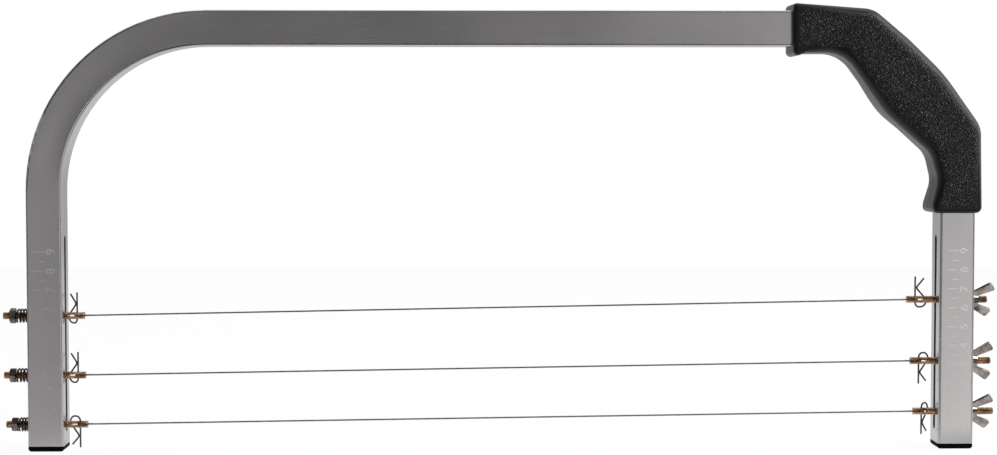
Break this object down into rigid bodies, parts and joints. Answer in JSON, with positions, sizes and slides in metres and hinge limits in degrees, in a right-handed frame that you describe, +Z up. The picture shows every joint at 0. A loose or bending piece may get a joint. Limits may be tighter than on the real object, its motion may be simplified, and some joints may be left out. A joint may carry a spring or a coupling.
{
  "type": "cake leveler",
  "caption": "Cake leveler: bow of square aluminium tube on two feet, moulded corner handle, tensioned cutting wires set in slotted legs with wing nuts and springs.",
  "frame": {"origin": "on the table under the middle of the overall box", "axes": "+X from the spring leg to the handle leg, +Z up the legs, -Y is the face with the scale"},
  "size_m": [0.5226, 0.028, 0.2339],
  "materials": {
    "aluminium": "satin anodised",
    "plug_plastic": "moulded",
    "handle_plastic": "leather grain moulding",
    "screw_steel": "zinc plated",
    "zinc_rod": "yellow zinc plated",
    "clip_steel": "dark spring steel",
    "nickel_nut": "nickel plated",
    "zinc_nut": "zinc plated",
    "spring_steel": "dark spring steel",
    "wire_steel": "drawn wire"
  },
  "bodies": {
    "frame": {"frame_tube": "aluminium", "left_end_plug": "plug_plastic", "right_end_plug": "plug_plastic", "handle_front_shell": "handle_plastic", "handle_back_shell": "handle_plastic", "handle_screws": "screw_steel"},
    "top_spring_seat": {"top_spring": "spring_steel"},
    "top_tension_set": {"top_cutting_wire": "wire_steel", "top_left_rod": "zinc_rod", "top_right_rod": "zinc_rod", "top_left_clip": "clip_steel", "top_right_clip": "clip_steel", "top_spring_nut": "zinc_nut"},
    "top_wing_nut_body": {"top_wing_nut": "nickel_nut"},
    "middle_spring_seat": {"middle_spring": "spring_steel"},
    "middle_tension_set": {"middle_cutting_wire": "wire_steel", "middle_left_rod": "zinc_rod", "middle_right_rod": "zinc_rod", "middle_left_clip": "clip_steel", "middle_right_clip": "clip_steel", "middle_spring_nut": "zinc_nut"},
    "middle_wing_nut_body": {"middle_wing_nut": "nickel_nut"},
    "bottom_spring_seat": {"bottom_spring": "spring_steel"},
    "bottom_tension_set": {"bottom_cutting_wire": "wire_steel", "bottom_left_rod": "zinc_rod", "bottom_right_rod": "zinc_rod", "bottom_left_clip": "clip_steel", "bottom_right_clip": "clip_steel", "bottom_spring_nut": "zinc_nut"},
    "bottom_wing_nut_body": {"bottom_wing_nut": "nickel_nut"}
  },
  "joints": [
    {"name": "top_height", "type": "slide", "parent": "frame", "child": "top_spring_seat", "axis": [0, 0, 1], "range_m": [-0.005, 0.0315]},
    {"name": "top_tension", "type": "slide", "parent": "top_spring_seat", "child": "top_tension_set", "axis": [1, 0, 0], "range_m": [-0.00023, 0.0014], "deforming": ["top_spring"]},
    {"name": "top_wing_nut_turn", "type": "hinge", "parent": "top_spring_seat", "child": "top_wing_nut_body", "pos_m": [0.2487, 0, 0.0783], "axis": [-1, 0, 0], "range_deg": [-120, 720]},
    {"name": "middle_height", "type": "slide", "parent": "frame", "child": "middle_spring_seat", "axis": [0, 0, 1], "range_m": [-0.0022, 0.005]},
    {"name": "middle_tension", "type": "slide", "parent": "middle_spring_seat", "child": "middle_tension_set", "axis": [1, 0, 0], "range_m": [-0.00023, 0.0014], "deforming": ["middle_spring"]},
    {"name": "middle_wing_nut_turn", "type": "hinge", "parent": "middle_spring_seat", "child": "middle_wing_nut_body", "pos_m": [0.2487, 0, 0.0457], "axis": [-1, 0, 0], "range_deg": [-120, 720]},
    {"name": "bottom_height", "type": "slide", "parent": "frame", "child": "bottom_spring_seat", "axis": [0, 0, 1], "range_m": [-0.0007, 0.0022]},
    {"name": "bottom_tension", "type": "slide", "parent": "bottom_spring_seat", "child": "bottom_tension_set", "axis": [1, 0, 0], "range_m": [-0.00023, 0.0014], "deforming": ["bottom_spring"]},
    {"name": "bottom_wing_nut_turn", "type": "hinge", "parent": "bottom_spring_seat", "child": "bottom_wing_nut_body", "pos_m": [0.2487, 0, 0.0188], "axis": [-1, 0, 0], "range_deg": [-120, 720]}
  ],
  "couplings": [
    {"joint": "top_wing_nut_turn", "follows": "top_tension", "rad_per_m": 8976},
    {"joint": "middle_wing_nut_turn", "follows": "middle_tension", "rad_per_m": 8976},
    {"joint": "bottom_wing_nut_turn", "follows": "bottom_tension", "rad_per_m": 8976}
  ]
}
